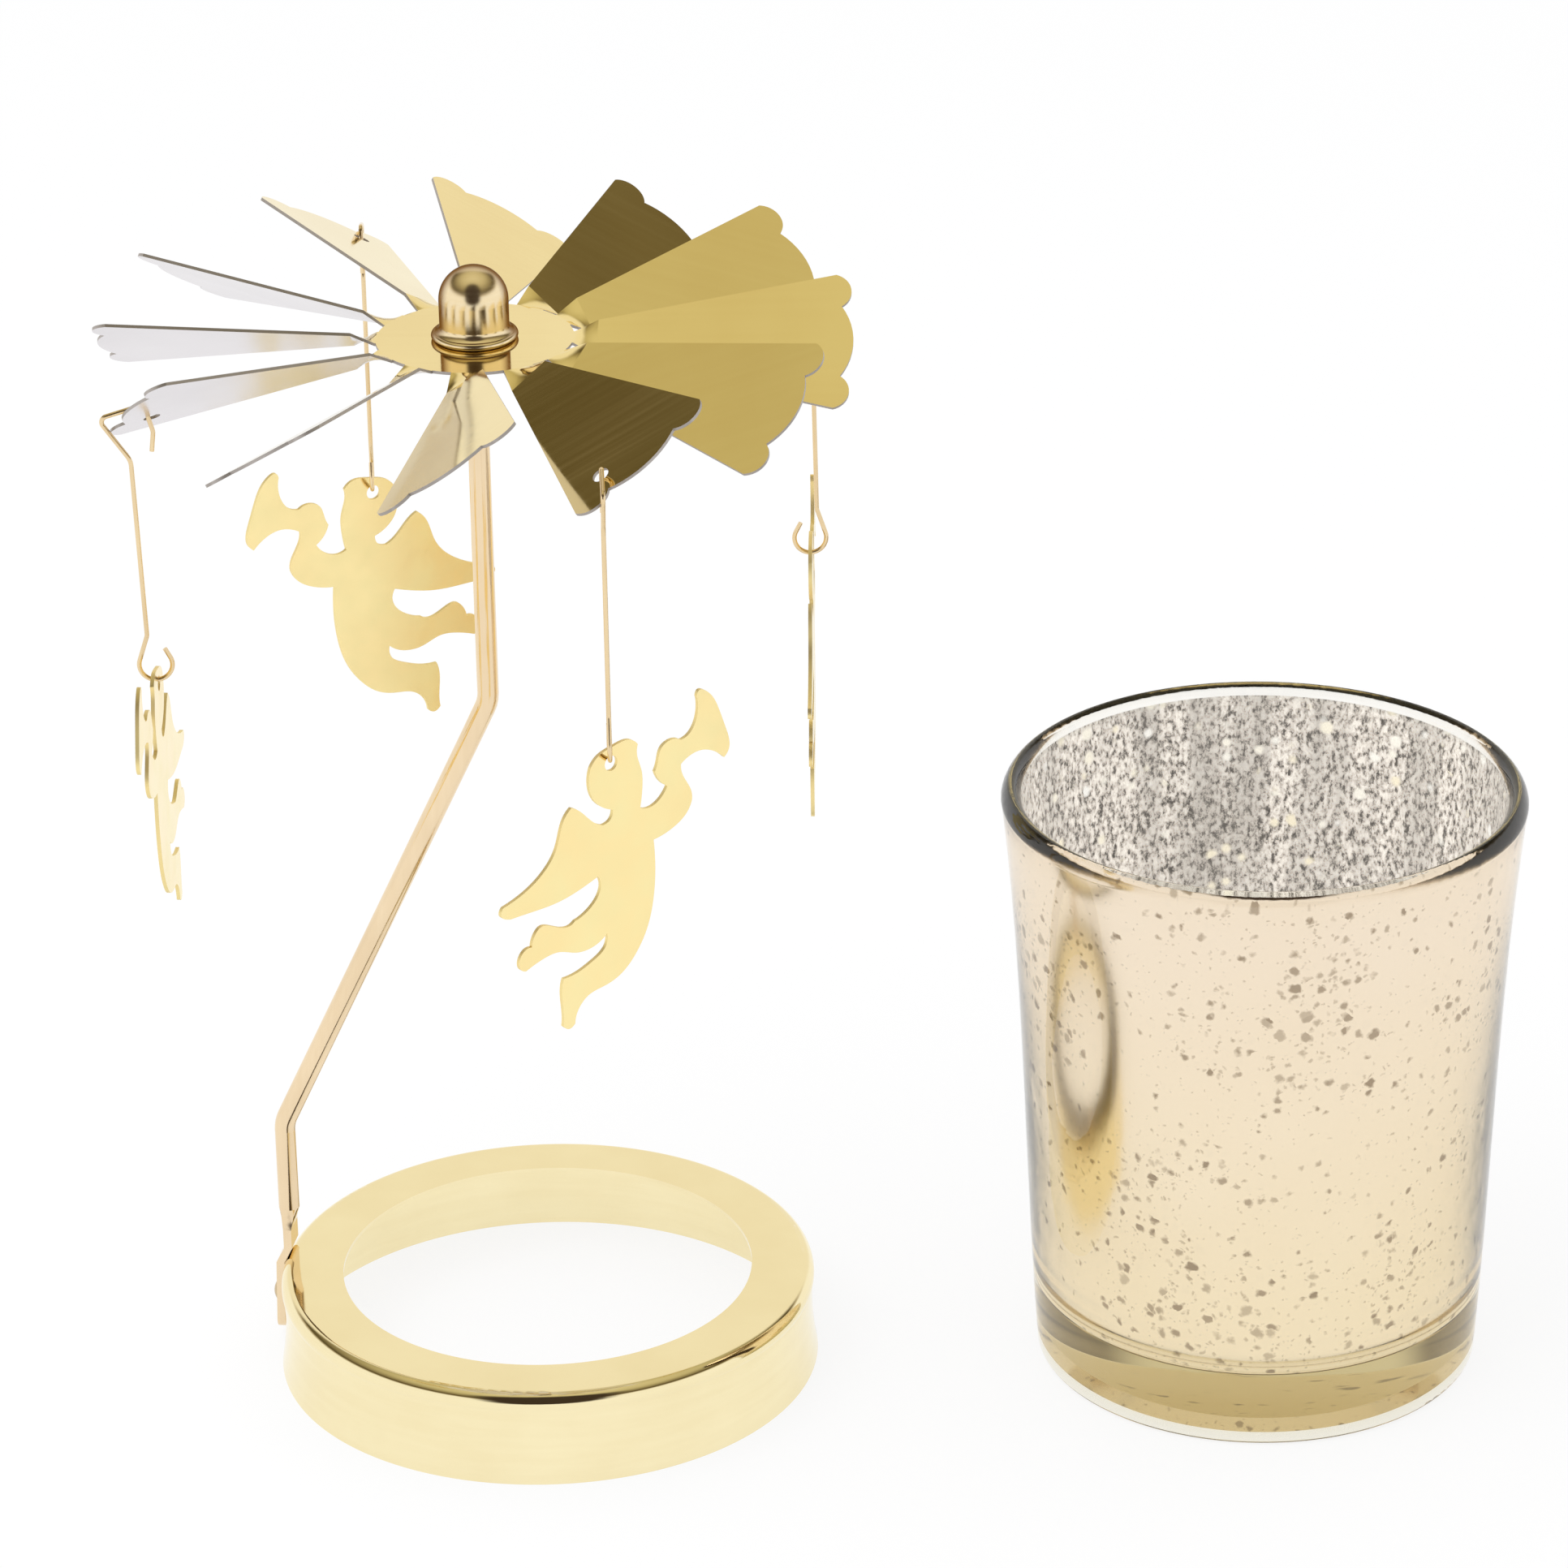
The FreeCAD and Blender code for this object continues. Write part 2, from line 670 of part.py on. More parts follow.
# Glass cup
def glass_cup():
    middle_z = cup_high / 2
    shoulder_z = cup_high - cup_rim_drop
    outer = smooth([V(cup_foot_r, 0, cup_edge_round), V(cup_middle_r, 0, middle_z),
                    V(cup_shoulder_r, 0, shoulder_z - cup_rim_drop), V(cup_rim_r, 0, shoulder_z)])
    top = V(cup_rim_r - cup_wall / 2, 0, cup_high)
    inner_top = V(cup_rim_r - cup_wall, 0, shoulder_z)
    rim = smooth([V(cup_rim_r, 0, shoulder_z),
                  V(mid(cup_rim_r, top.x) + cup_wall / 8, 0, mid(shoulder_z, cup_high) + cup_wall / 8),
                  top,
                  V(mid(inner_top.x, top.x) - cup_wall / 8, 0, mid(shoulder_z, cup_high) + cup_wall / 8),
                  inner_top])
    floor_edge = V(cup_foot_r - cup_wall - cup_inner_round, 0, cup_floor)
    inner_low = V(cup_foot_r - cup_wall, 0, cup_floor + cup_inner_round)
    inner = smooth([inner_top, V(cup_middle_r - cup_wall, 0, middle_z), inner_low])
    bend_centre = V(floor_edge.x, 0, inner_low.z)
    bend = arc3(inner_low, on_circle(bend_centre, cup_inner_round, -45), floor_edge)
    floor_mid = V(0, 0, cup_floor)
    punt_top = V(0, 0, cup_punt_deep)
    punt_side = V(cup_punt_r - cup_punt_round, 0, cup_punt_deep)
    punt_edge = V(cup_punt_r, 0, 0)
    base_edge = V(cup_foot_r - cup_edge_round, 0, 0)
    base_centre = V(base_edge.x, 0, cup_edge_round)
    base_round = arc3(base_edge, on_circle(base_centre, cup_edge_round, -45),
                      V(cup_foot_r, 0, cup_edge_round))
    edges = [outer, rim, inner, bend, line(floor_edge, floor_mid), line(floor_mid, punt_top),
             line(punt_top, punt_side), line(punt_side, punt_edge), line(punt_edge, base_edge),
             base_round]
    cup = spun(Part.__sortEdges__(edges))
    cup.translate(V(cup_x, cup_y, 0))
    return cup


pieces = {
    "base_ring": base_ring(),
    "post": post(),
    "foot_rivet": foot_rivet(),
    "pivot_needle": pivot_needle(),
    "bearing_cup": bearing_cup(),
    "pivot_cap": pivot_cap(),
    "hub_washer": hub_washer(),
    "fan": fan(),
    "glass_cup": glass_cup(),
}
for side in hanger_sides:
    pieces["hanger_" + side] = hanger(side)
    pieces["angel_" + side] = angel(side)

for name, shape in pieces.items():
    shape.exportStep("parts/" + name + ".step")
    box = shape.BoundBox
    print(name, shape.isValid(), len(shape.Solids), round(shape.Volume, 2),
          [round(v, 2) for v in (box.XMin, box.YMin, box.ZMin, box.XMax, box.YMax, box.ZMax)])

for side in hanger_sides:
    hole = hole_place(side)
    hook = to_hole(Part.Vertex(V(hanger_pivot_s, 0, 0)), side).Point
    eye = angel_pivot(side)
    print(side, "hook", [round(v, 3) for v in hook], "eye", [round(v, 3) for v in eye],
          "azimuth", round(hanger_azimuth(side), 3), "angel",
          round(hanger_azimuth(side) + 90 + angel_turns_deg[side], 3))
print("axis", [round(v, 4) for v in axis_point(hub_z)])
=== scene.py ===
import json
import math

import bmesh
import bpy
from mathutils import Matrix, Vector


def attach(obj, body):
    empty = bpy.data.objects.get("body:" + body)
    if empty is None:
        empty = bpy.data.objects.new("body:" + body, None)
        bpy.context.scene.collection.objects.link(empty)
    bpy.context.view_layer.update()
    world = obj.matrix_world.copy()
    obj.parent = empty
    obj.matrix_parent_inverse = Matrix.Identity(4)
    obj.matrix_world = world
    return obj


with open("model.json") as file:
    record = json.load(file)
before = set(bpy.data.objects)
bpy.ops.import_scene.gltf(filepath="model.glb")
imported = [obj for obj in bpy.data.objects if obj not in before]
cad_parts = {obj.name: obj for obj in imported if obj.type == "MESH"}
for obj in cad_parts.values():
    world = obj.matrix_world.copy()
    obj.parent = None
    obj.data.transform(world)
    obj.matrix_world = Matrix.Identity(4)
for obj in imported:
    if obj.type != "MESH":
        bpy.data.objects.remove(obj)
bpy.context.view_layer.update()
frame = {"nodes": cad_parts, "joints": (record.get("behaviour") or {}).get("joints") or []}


# Camera. It stands in front of the table and looks down on it with a long lens, from about
# 85 centimetres away, and leans a degree to one side.
camera_place = (0.0330, -0.7673, 0.4332)
camera_tilt_deg = 65.507
camera_lean_deg = -0.958
lens = bpy.data.cameras.new("table_camera")
lens.sensor_width = 36
lens.lens = 148.17
lens.clip_start = 0.05
camera = bpy.data.objects.new("table_camera", lens)
bpy.context.collection.objects.link(camera)
tilt = Matrix.Rotation(math.radians(camera_tilt_deg), 4, "X")
lean = Matrix.Rotation(math.radians(camera_lean_deg), 4, "Z")
camera.matrix_world = Matrix.Translation(camera_place) @ tilt @ lean
bpy.context.scene.camera = camera


# Studio. A white tent of light stands round the table up to about the height of the wheel, and a
# little higher at the back. Above it the room is dim and warm under a soft bright ceiling, with a
# dark gap in front of the table. Only polished metal and glass show that room.
class Wiring:
    """Adds nodes to one material or world and joins them by the names of their sockets."""

    def __init__(self, tree):
        self.tree = tree
        tree.nodes.clear()

    def plug(self, socket, value):
        if isinstance(value, bpy.types.NodeSocket):
            self.tree.links.new(value, socket)
        elif socket.type == "RGBA" and len(value) == 3:
            socket.default_value = (*value, 1)
        else:
            socket.default_value = value

    def add(self, kind, inputs=None, **settings):
        node = self.tree.nodes.new("ShaderNode" + kind)
        for name, value in settings.items():
            setattr(node, name, value)
        for name, value in (inputs or {}).items():
            self.plug(node.inputs[name], value)
        return node

    def math(self, operation, a, b=0.0):
        return self.add("Math", {0: a, 1: b}, operation=operation).outputs[0]

    def fade(self, value, low, high, at_low=0.0, at_high=1.0, curve="LINEAR"):
        """Turns a value's span from low to high into another span, held at both ends."""
        return self.add("MapRange", {
            "Value": value, "From Min": low, "From Max": high, "To Min": at_low, "To Max": at_high,
        }, interpolation_type=curve).outputs[0]

    def mix(self, factor, a, b):
        node = self.add("Mix", data_type="RGBA")
        self.plug(node.inputs[0], factor)
        self.plug(node.inputs[6], a)
        self.plug(node.inputs[7], b)
        return node.outputs[2]

    def ramp(self, factor, stops):
        node = self.add("ValToRGB", {"Fac": factor})
        points = node.color_ramp.elements
        while len(points) < len(stops):
            points.new(0.5)
        for point, (place, colour) in zip(points, stops):
            point.position = place
            point.color = (*colour, 1)
        return node.outputs["Color"]

    def noise(self, place, scale, detail):
        inputs = {"Vector": place, "Scale": scale, "Detail": detail}
        return self.add("TexNoise", inputs).outputs["Fac"]

    def blend(self, a, b, share_of_a):
        """Adds up two values, each by its share of the whole."""
        a = self.math("MULTIPLY", a, share_of_a)
        b = self.math("MULTIPLY", b, 1 - share_of_a)
        return self.math("ADD", a, b)

    def bump(self, height, distance, **more):
        return self.add("Bump", {"Height": height, "Distance": distance, **more}).outputs[0]


studio = bpy.data.worlds.new("studio")
studio.use_nodes = True
bpy.context.scene.world = studio
bpy.context.scene.view_settings.view_transform = "Standard"
room = Wiring(studio.node_tree)
towards = room.add("TexCoord").outputs["Generated"]
height = room.add("SeparateXYZ", {0: towards}).outputs["Z"]
dim_room = (0.12, 0.095, 0.045)
shown = room.ramp(height, [
    (0.00, (1, 1, 1)), (0.37, (1, 1, 1)), (0.46, (0.50, 0.43, 0.32)), (0.52, dim_room),
    (0.58, dim_room), (0.64, (0.22, 0.18, 0.10)), (0.75, (0.38, 0.33, 0.19)),
    (0.86, (0.57, 0.51, 0.31)), (0.93, (0.64, 0.58, 0.37)), (1.00, (0.72, 0.66, 0.44)),
])


def patch(towards_it, soft_edge, full, colour, under):
    """A soft round patch of another colour on the room's wall, in one direction.

    Its soft edge and its full middle start at two cosines of the angle away from that direction.
    """
    facing = room.add("VectorMath", {0: towards, 1: towards_it}, operation="DOT_PRODUCT")
    there = room.fade(facing.outputs["Value"], soft_edge, full, curve="SMOOTHSTEP")
    return room.mix(there, under, colour)


pale_wall = (0.93, 0.89, 0.79)
dark_gap = (0.05, 0.035, 0.025)
behind = (0.0, 0.906, 0.423)
in_front = (0.0, -0.93, 0.367)
high_in_front = (0.0, -0.70, 0.714)
shown = patch(behind, soft_edge=0.80, full=0.93, colour=pale_wall, under=shown)
shown = patch(in_front, soft_edge=0.86, full=0.95, colour=dark_gap, under=shown)
shown = patch(high_in_front, soft_edge=0.86, full=0.95, colour=dark_gap, under=shown)
ray = room.add("LightPath").outputs
direct = room.math("MAXIMUM", ray["Is Camera Ray"], ray["Is Transmission Ray"])
tent_light = (0.80, 0.80, 0.81)
white = (1, 1, 1)
plain = room.mix(direct, tent_light, white)
light = room.mix(ray["Is Glossy Ray"], plain, shown)
backdrop = room.add("Background", {"Color": light})
room.add("OutputWorld", {"Surface": backdrop.outputs[0]})

lamp_place = Vector((-0.35, -0.25, 0.85))
lamp_aim = Vector((0.0, 0.05, 0.05))
soft_box = bpy.data.lights.new("soft_box", "AREA")
soft_box.shape = "SQUARE"
soft_box.size = 0.7
soft_box.energy = 2.6
lamp = bpy.data.objects.new("soft_box", soft_box)
bpy.context.collection.objects.link(lamp)
lamp.location = lamp_place
lamp.rotation_euler = (lamp_aim - lamp_place).to_track_quat("-Z", "Y").to_euler()
lamp.visible_glossy = False


# Table. A white sheet of matt card that runs out past the view on all sides.
# It is lit to white, and keeps a faint shadow under the pieces.
def new_material(name):
    material = bpy.data.materials.new(name)
    material.use_nodes = True
    return material, Wiring(material.node_tree)


table_half_wide = 4.0
card_white = (0.97, 0.97, 0.97)
card_glow = 1.02
glow_share = 0.84
card = bmesh.new()
bmesh.ops.create_grid(card, x_segments=1, y_segments=1, size=table_half_wide)
table_mesh = bpy.data.meshes.new("table")
card.to_mesh(table_mesh)
card.free()
table = bpy.data.objects.new("table", table_mesh)
bpy.context.collection.objects.link(table)
white_card, card_nodes = new_material("white card")
ray = card_nodes.add("LightPath").outputs
seen = card_nodes.math("MAXIMUM", ray["Is Camera Ray"], ray["Is Glossy Ray"])
seen = card_nodes.math("MAXIMUM", seen, ray["Is Transmission Ray"])
matt = card_nodes.add("BsdfDiffuse", {"Color": card_white})
glow = card_nodes.add("Emission", {"Color": white, "Strength": card_glow})
lit = card_nodes.add("MixShader", {
    0: card_nodes.math("MULTIPLY", seen, glow_share), 1: matt.outputs[0], 2: glow.outputs[0]})
card_nodes.add("OutputMaterial", {"Surface": lit.outputs[0]})
table_mesh.materials.append(white_card)


# Base ring. One cup pressed from thin gold-coloured sheet, its middle punched out and its rim
# rolled. The sheet is polished, and keeps fine marks from the press round its skirt.
def metal(name, bright, deep, roughness, uneven, marks, relief,
          wave=0.0, edge_tint_and_painted_reflection=None, sheet_faces=None):
    """Polished metal: two close tones, fine drawn marks, and a slightly uneven shine.

    The marks are given as how fine they are along x, y and z. A wave makes the sheet swell a
    little. The edge colour tints the metal's shine, and is painted into its colour where the face
    turns away from the camera, as a painted reflection of the dim room. For a flat
    sheet, the direction that it faces tells its polished faces from its dull cut edges.
    """
    strongest_painted_reflection = 0.85
    cut_edge_duller = 0.35
    material, nodes = new_material(name)
    at = nodes.add("TexCoord").outputs
    place = at["Object"]
    cloud = nodes.noise(place, scale=90.0, detail=3.0)
    drawn = nodes.add("Mapping", {"Vector": place, "Scale": marks}).outputs[0]
    lines = nodes.noise(drawn, scale=1.0, detail=4.0)
    tone = nodes.blend(cloud, lines, share_of_a=0.55)
    colour = nodes.mix(nodes.fade(tone, 0.38, 0.66), deep, bright)
    if edge_tint_and_painted_reflection:
        # Painted reflection: the colour goes towards the edge colour where the face turns away from the
        # camera, for the dim room that polished metal reflects there.
        away = nodes.add("LayerWeight", {"Blend": 0.5}).outputs["Facing"]
        turned = nodes.fade(away, 0.34, 0.62, at_high=strongest_painted_reflection)
        colour = nodes.mix(turned, colour, edge_tint_and_painted_reflection)
    shine = nodes.fade(lines, 0.35, 0.70, at_low=roughness - uneven, at_high=roughness + uneven)
    if sheet_faces:
        facing = nodes.add("VectorMath", {0: at["Normal"], 1: sheet_faces}, operation="DOT_PRODUCT")
        facing = nodes.math("ABSOLUTE", facing.outputs["Value"])
        duller = nodes.fade(facing, 0.50, 0.60, at_low=cut_edge_duller, at_high=0.0)
        shine = nodes.math("ADD", shine, duller)
    normal = nodes.bump(lines, relief)
    if wave:
        swell = nodes.noise(place, scale=28.0, detail=1.0)
        normal = nodes.bump(swell, wave, Normal=normal)
    face = nodes.add("BsdfPrincipled", {
        "Base Color": colour, "Metallic": 1.0, "Roughness": shine, "Normal": normal})
    if edge_tint_and_painted_reflection:
        nodes.plug(face.inputs["Specular Tint"], edge_tint_and_painted_reflection)
    nodes.add("OutputMaterial", {"Surface": face.outputs[0]})
    return material


def finish(node, material):
    """Gives one solid of the model its finish."""
    mesh = frame["nodes"][node].data
    mesh.materials.clear()
    mesh.materials.append(material)


finish("base_ring", metal(
    "pressed gold sheet", bright=(0.96, 0.85, 0.54), deep=(0.92, 0.80, 0.49),
    roughness=0.07, uneven=0.03, marks=(60, 60, 700), relief=0.000002))


# Post. A round rod of gold-coloured metal, drawn to size, bent twice and beaten flat at its foot.
# The drawing left long fine lines down the rod.
finish("post", metal(
    "drawn gold rod", bright=(0.91, 0.73, 0.49), deep=(0.84, 0.66, 0.43),
    roughness=0.14, uneven=0.05, marks=(1400, 1400, 25), relief=0.000002))


# Rivet and hub washer. The rivet holds the foot of the post and was closed by hand, and the washer
# holds the cap's stem below the wheel. Both are plain gold-coloured metal, a little dull.
dull_gold = metal(
    "dull gold fittings", bright=(0.74, 0.58, 0.34), deep=(0.50, 0.38, 0.22),
    roughness=0.30, uneven=0.08, marks=(900, 900, 900), relief=0.00001)
finish("foot_rivet", dull_gold)
finish("hub_washer", dull_gold)


# Needle and bearing. The needle is ground steel, and the bearing is a small turned seat that
# rests on its point. Both are hidden in the cap.
finish("pivot_needle", metal(
    "ground steel", bright=(0.62, 0.62, 0.63), deep=(0.48, 0.48, 0.50),
    roughness=0.22, uneven=0.05, marks=(2500, 2500, 80), relief=0.000004))
finish("bearing_cup", dull_gold)


# Cap. Turned from solid and polished, with faint rings left by the turning. Its outline is
# painted darker where the face turns away, a painted reflection of the dim room that the
# polished cap would show there.
finish("pivot_cap", metal(
    "polished gold cap", bright=(0.96, 0.81, 0.54), deep=(0.91, 0.74, 0.46),
    roughness=0.20, uneven=0.03, marks=(60, 60, 2600), relief=0.000001, edge_tint_and_painted_reflection=(0.34, 0.23, 0.16)))


# Fan wheel. One sheet, gold-coloured above and left silvery below, cut into twelve blades that are
# twisted by hand. Faint lines from the rolling mill run across it, and its cut edges are dull grey.
def two_faced_sheet():
    gold_tones = (0.89, 0.72, 0.34), (0.93, 0.77, 0.38)
    silver_tones = (0.70, 0.67, 0.69), (0.76, 0.73, 0.75)
    cut_edge = (0.56, 0.52, 0.49)
    silver_duller = 0.14
    cut_edge_duller = 0.5
    material, nodes = new_material("two faced sheet")
    at = nodes.add("TexCoord").outputs
    place = at["Object"]
    up = nodes.add("SeparateXYZ", {0: at["Normal"]}).outputs["Z"]
    above = nodes.fade(up, -0.10, 0.0)
    on_a_face = nodes.fade(nodes.math("ABSOLUTE", up), 0.60, 0.70)
    rolled = nodes.add("Mapping", {"Vector": place, "Rotation": (0, 0, 0.06), "Scale": (25, 1300, 25)})
    lines = nodes.noise(rolled.outputs[0], scale=1.0, detail=3.0)
    cloud = nodes.noise(place, scale=60.0, detail=3.0)
    tone = nodes.fade(nodes.blend(cloud, lines, share_of_a=0.75), 0.36, 0.64)
    gold = nodes.mix(tone, *gold_tones)
    silver = nodes.mix(tone, *silver_tones)
    colour = nodes.mix(on_a_face, cut_edge, nodes.mix(above, silver, gold))
    shine = nodes.fade(lines, 0.3, 0.7, at_low=0.06, at_high=0.10)
    shine = nodes.math("ADD", shine, nodes.fade(above, 0.0, 1.0, at_low=silver_duller, at_high=0.0))
    shine = nodes.math("ADD", shine, nodes.fade(on_a_face, 0.0, 1.0, at_low=cut_edge_duller, at_high=0.0))
    normal = nodes.bump(nodes.noise(place, scale=22.0, detail=1.0), distance=0.0006)
    normal = nodes.bump(lines, distance=0.000001, Normal=normal)
    face = nodes.add("BsdfPrincipled", {
        "Base Color": colour, "Metallic": 1.0, "Roughness": shine, "Normal": normal})
    nodes.add("OutputMaterial", {"Surface": face.outputs[0]})
    return material


finish("fan", two_faced_sheet())


# Hangers. Thin bright wire, bent by hand into a hook above and an open eye below.
# The wire keeps the long lines of the drawing plate.
bright_wire = metal(
    "bright wire", bright=(0.92, 0.74, 0.46), deep=(0.78, 0.60, 0.36),
    roughness=0.18, uneven=0.05, marks=(900, 900, 60), relief=0.000003)
sides = ("front", "left", "back", "right")
for side in sides:
    finish("hanger_" + side, bright_wire)


# Angels. Cut from flat gold-coloured sheet with a soft satin face, very slightly bowed, and dull
# along the cut. Each one hangs in the eye of its wire by the hole in its head, and rocks there in
# its own plane, so the axis that it rocks about is the direction that its sheet faces.
for side in sides:
    rocking = next(joint for joint in frame["joints"] if joint["name"] == "angel_swing_" + side)
    finish("angel_" + side, metal(
        "satin gold sheet " + side, bright=(1.0, 0.86, 0.44), deep=(1.0, 0.81, 0.40),
        roughness=0.20, uneven=0.05, marks=(250, 250, 250), relief=0.000003, wave=0.0001,
        sheet_faces=rocking["axis"]))


# Glass cup. Pressed clear glass with a thick bottom and a rounded rim. The face is fire polished
# and very slightly uneven, and the glass is faintly amber, which shows most in the thick bottom.
def pressed_glass():
    foot_from, foot_up_to = 0.003, 0.010
    foot_tint = (0.90, 0.86, 0.72)
    wall_tints = (0.99, 0.985, 0.965), (1.0, 0.995, 0.98)
    amber, amber_density = (0.84, 0.79, 0.59), 48.0
    material, nodes = new_material("clear pressed glass")
    place = nodes.add("TexCoord").outputs["Object"]
    height = nodes.add("SeparateXYZ", {0: place}).outputs["Z"]
    swell = nodes.noise(place, scale=70.0, detail=1.0)
    normal = nodes.bump(swell, distance=0.00006)
    clear = nodes.mix(swell, *wall_tints)
    tint = nodes.mix(nodes.fade(height, foot_from, foot_up_to), foot_tint, clear)
    face = nodes.add("BsdfPrincipled", {
        "Base Color": tint, "Roughness": 0.0, "IOR": 1.5, "Transmission Weight": 1.0, "Normal": normal})
    depth = nodes.add("VolumeAbsorption", {"Color": amber, "Density": amber_density})
    nodes.add("OutputMaterial", {"Surface": face.outputs[0], "Volume": depth.outputs[0]})
    return material


finish("glass_cup", pressed_glass())


# Mirror coat of the glass cup. A skin of silver and gold colour on the inside of the glass, mottled
# on purpose: through the glass it is warm cream with brown specks, from inside it is silvery with
# runs and sparks. It is so thin that some light comes through, and a faint painted glow on its
# inner face stands for that light.
cup_middle = Vector((0.0958, 0.0, 0.0))
coat_into_glass = 0.00006
coat_thick = 0.00003
floor_high = 0.0090
inner_round = 0.0040
wall_low_r, wall_low_z = 0.0270, 0.0130
wall_mid_r, wall_mid_z = 0.02895, 0.0413
wall_top_r, wall_top_z = 0.0318, 0.0804
lip_r, lip_z = 0.03194, 0.0811
steps_round = 128
merge_within = 0.000002


def wall_r(z):
    """Radius of the cup's inner wall: the one smooth bow through its low, middle and top rings."""
    low_slope = (wall_mid_r - wall_low_r) / (wall_mid_z - wall_low_z)
    top_slope = (wall_top_r - wall_mid_r) / (wall_top_z - wall_mid_z)
    bow = (top_slope - low_slope) / (wall_top_z - wall_low_z)
    return wall_low_r + (low_slope + bow * (z - wall_mid_z)) * (z - wall_low_z)


def coat_section():
    """The coat in section, as radius and height, from the middle of the floor up to its edge."""
    section = [(0.0, floor_high)]
    round_middle = wall_low_r - inner_round
    round_steps = 8
    for step in range(round_steps + 1):
        angle = math.radians(90) * step / round_steps
        section.append((round_middle + inner_round * math.sin(angle),
                        floor_high + inner_round * (1 - math.cos(angle))))
    wall_steps = 16
    for step in range(1, wall_steps + 1):
        z = wall_low_z + (wall_top_z - wall_low_z) * step / wall_steps
        section.append((wall_r(z), z))
    section.append((lip_r, lip_z))
    return section


def corner_number(part):
    """One number for an edge or a face of the coat, made of the numbers of its corners."""
    corners = sorted(vert.index for vert in part.verts)
    return sum(corner * len(skin.verts) ** place for place, corner in enumerate(corners))


skin = bmesh.new()
chain = [skin.verts.new((cup_middle.x + r, cup_middle.y, z)) for r, z in coat_section()]
edges = [skin.edges.new(pair) for pair in zip(chain, chain[1:])]
bmesh.ops.spin(
    skin, geom=chain + edges, cent=cup_middle, axis=(0, 0, 1), steps=steps_round, angle=math.tau,
    use_merge=True)
bmesh.ops.remove_doubles(skin, verts=skin.verts, dist=merge_within)
# The spin can leave edges and faces in another order from run to run, so they are sorted.
skin.verts.index_update()
skin.edges.sort(key=corner_number)
skin.faces.sort(key=corner_number)
bmesh.ops.recalc_face_normals(skin, faces=skin.faces)
# The faces look out into the glass, so the floor of the coat has to face down.
lowest = min(skin.faces, key=lambda face: face.calc_center_median().z)
if lowest.normal.z > 0:
    bmesh.ops.reverse_faces(skin, faces=skin.faces)
for face in skin.faces:
    face.smooth = True
# The coat is set a hair into the glass, so that the two share no face.
for vert in skin.verts:
    vert.co += vert.normal * coat_into_glass
coat_mesh = bpy.data.meshes.new("mirror_coat")
skin.to_mesh(coat_mesh)
skin.free()


def spots(nodes, place, fine, shown, largest, soft):
    """Scattered round spots: how much of a spot is there, and the random colour of each spot."""
    cells = nodes.add("TexVoronoi", {"Vector": place, "Scale": fine})
    chance = nodes.add("SeparateColor", {0: cells.outputs["Color"]}).outputs
    size = nodes.fade(chance[0], 1.0 - shown, 1.0, at_high=largest)
    inside = nodes.math("SUBTRACT", size, cells.outputs["Distance"])
    return nodes.fade(inside, 0.0, soft), chance[1]


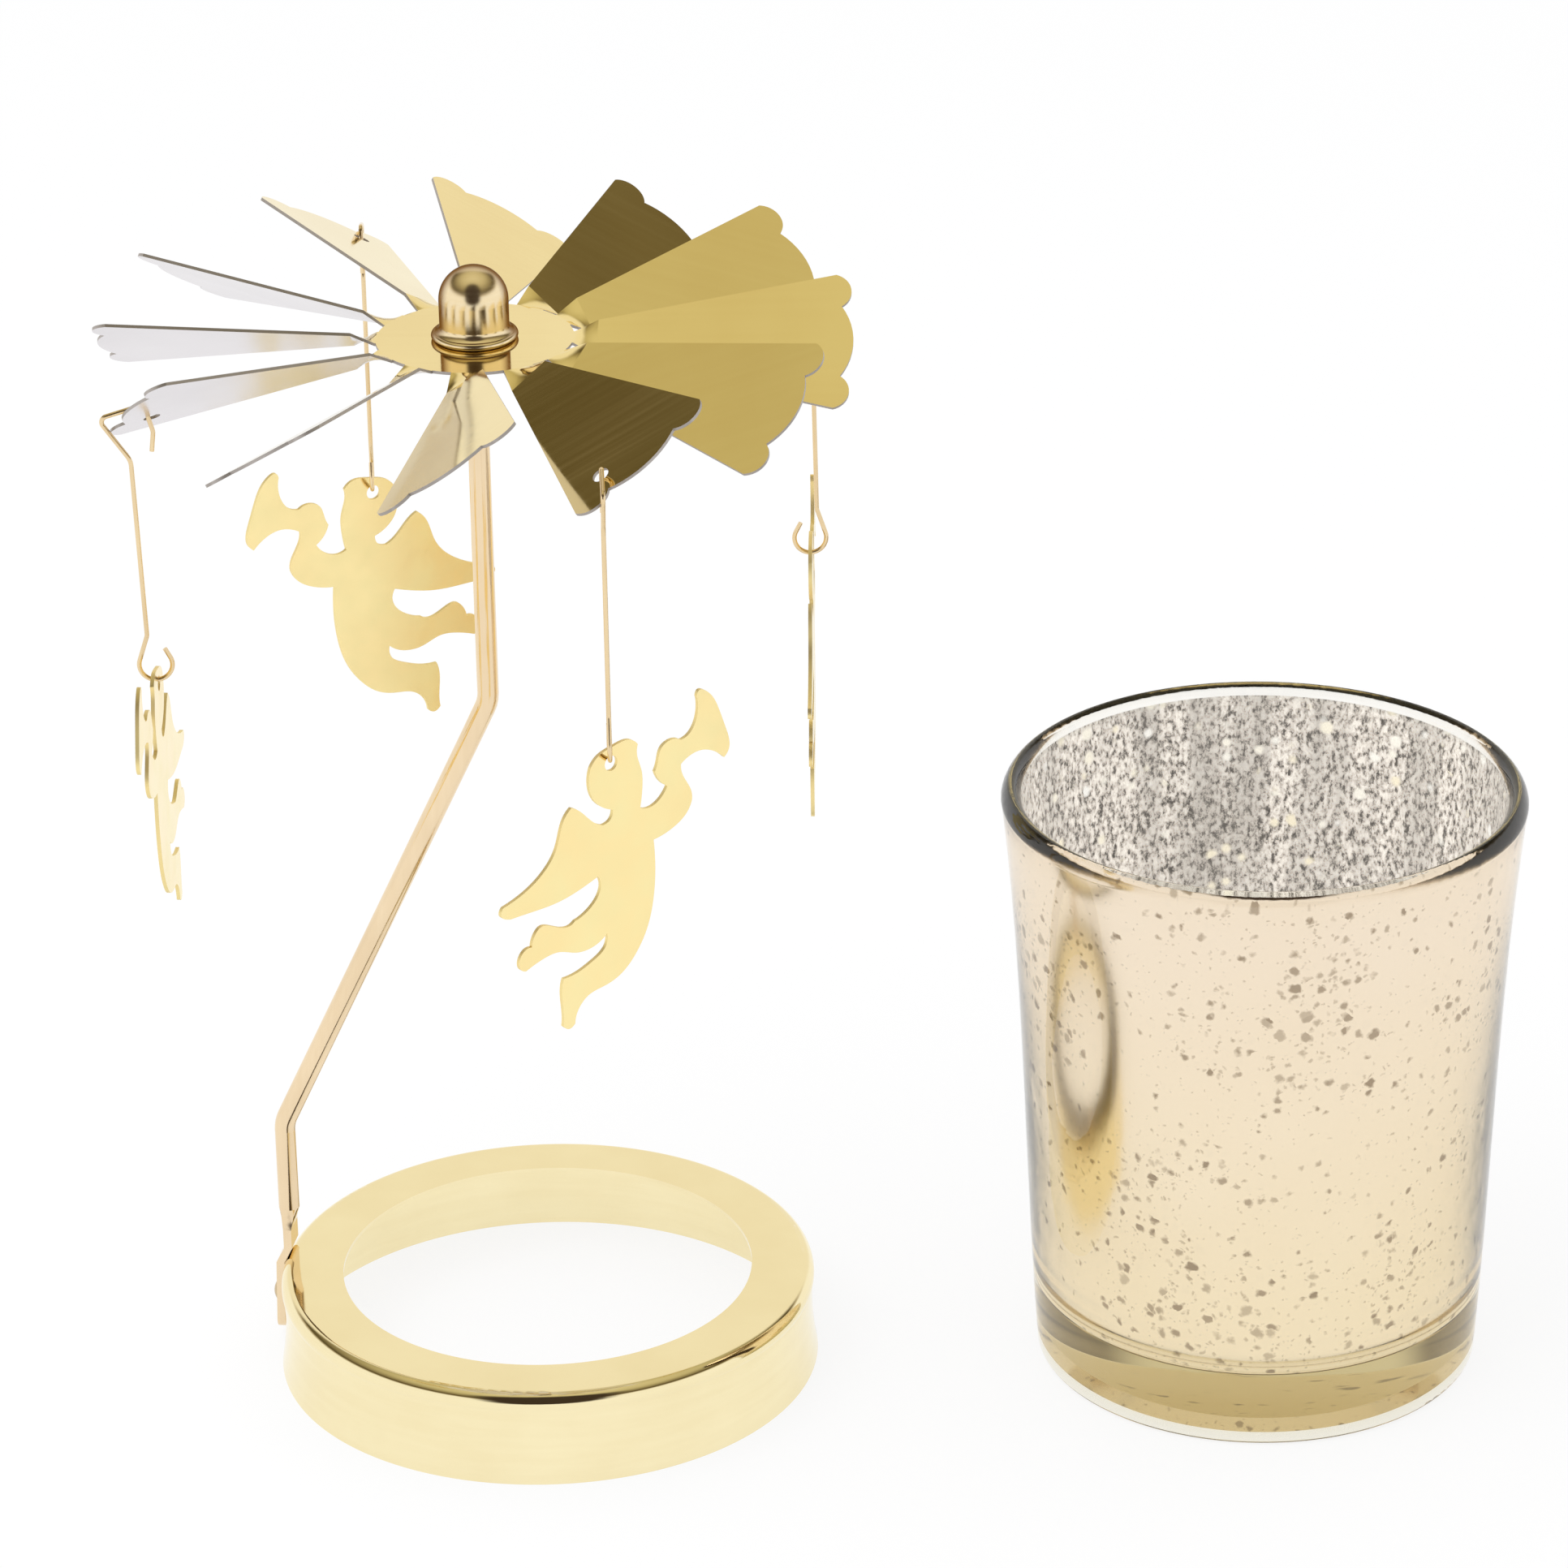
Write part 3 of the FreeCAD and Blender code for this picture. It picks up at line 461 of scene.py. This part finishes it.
def coat_through_glass():
    warm_creams = (0.94, 0.80, 0.57), (0.96, 0.84, 0.63)
    pale_creams = (0.92, 0.79, 0.64), (0.95, 0.83, 0.70)
    speck_brown = (0.30, 0.22, 0.14)
    raggedness = (0.0016, 0.0016, 0.0016)
    material, nodes = new_material("coat seen through the glass")
    place = nodes.add("TexCoord").outputs["Object"]
    warp = nodes.add("TexNoise", {"Vector": place, "Scale": 700.0, "Detail": 2.0}).outputs["Color"]
    bent = nodes.add("VectorMath", {0: warp, 1: raggedness}, operation="MULTIPLY")
    ragged = nodes.add("VectorMath", {0: place, 1: bent.outputs[0]}, operation="ADD").outputs[0]
    crowd = nodes.noise(place, scale=55.0, detail=1.0)
    largest = nodes.fade(crowd, 0.35, 0.65, at_low=0.34, at_high=0.62)
    speck, depth = spots(nodes, ragged, fine=600.0, shown=0.85, largest=largest, soft=0.20)
    dust, _ = spots(nodes, ragged, fine=1500.0, shown=0.55, largest=largest, soft=0.30)
    speck = nodes.math("MULTIPLY", speck, nodes.fade(depth, 0.0, 1.0, at_low=0.45, at_high=0.90))
    worn = nodes.math("MAXIMUM", speck, nodes.math("MULTIPLY", dust, 0.45))
    cloud = nodes.noise(place, scale=45.0, detail=3.0)
    height = nodes.add("SeparateXYZ", {0: place}).outputs["Z"]
    warm = nodes.mix(cloud, *warm_creams)
    pale = nodes.mix(cloud, *pale_creams)
    cream = nodes.mix(nodes.fade(height, 0.020, 0.075), warm, pale)
    colour = nodes.mix(worn, cream, speck_brown)
    normal = nodes.bump(cloud, distance=0.00008, Strength=0.3)
    face = nodes.add("BsdfPrincipled", {
        "Base Color": colour, "Metallic": 1.0, "Roughness": 0.11, "Normal": normal})
    nodes.add("OutputMaterial", {"Surface": face.outputs[0]})
    return material


def coat_from_inside():
    run_grey = (0.28, 0.26, 0.24)
    spark_tones = (1.0, 1.0, 0.98), (0.98, 0.92, 0.76)
    painted_glow_strength = 0.46
    material, nodes = new_material("coat seen from inside")
    place = nodes.add("TexCoord").outputs["Object"]
    drawn = nodes.add("Mapping", {"Vector": place, "Scale": (1500, 1500, 950)}).outputs[0]
    mottle = nodes.add("TexNoise", {
        "Vector": drawn, "Scale": 1.0, "Detail": 5.0, "Roughness": 0.72}).outputs["Fac"]
    silver = nodes.ramp(mottle, [
        (0.38, (0.14, 0.13, 0.12)), (0.44, (0.46, 0.43, 0.40)), (0.50, (0.80, 0.75, 0.70)),
        (0.57, (1.0, 0.97, 0.92))])
    down = nodes.add("Mapping", {"Vector": place, "Scale": (160, 160, 12)}).outputs[0]
    run = nodes.noise(down, scale=1.0, detail=2.0)
    silver = nodes.mix(nodes.fade(run, 0.44, 0.62, at_high=0.36), silver, run_grey)
    spark, warmth = spots(nodes, place, fine=460.0, shown=0.45, largest=0.55, soft=0.20)
    colour = nodes.mix(spark, silver, nodes.mix(warmth, *spark_tones))
    normal = nodes.bump(mottle, distance=0.00025, Strength=0.8)
    shine = nodes.fade(mottle, 0.3, 0.7, at_low=0.42, at_high=0.20)
    # Painted light: the inner face glows with its own colour, a painted glow that stands for the light
    # coming through the thin coat.
    face = nodes.add("BsdfPrincipled", {
        "Base Color": colour, "Metallic": 0.25, "Roughness": shine, "Normal": normal,
        "Emission Color": colour, "Emission Strength": painted_glow_strength})
    nodes.add("OutputMaterial", {"Surface": face.outputs[0]})
    return material


coat_mesh.materials.append(coat_through_glass())
coat_mesh.materials.append(coat_from_inside())
mirror_coat = bpy.data.objects.new("mirror_coat", coat_mesh)
bpy.context.collection.objects.link(mirror_coat)
skin_depth = mirror_coat.modifiers.new("thickness", "SOLIDIFY")
skin_depth.thickness = coat_thick
skin_depth.offset = -1
skin_depth.material_offset = 1
skin_depth.material_offset_rim = 1
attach(mirror_coat, "cup")
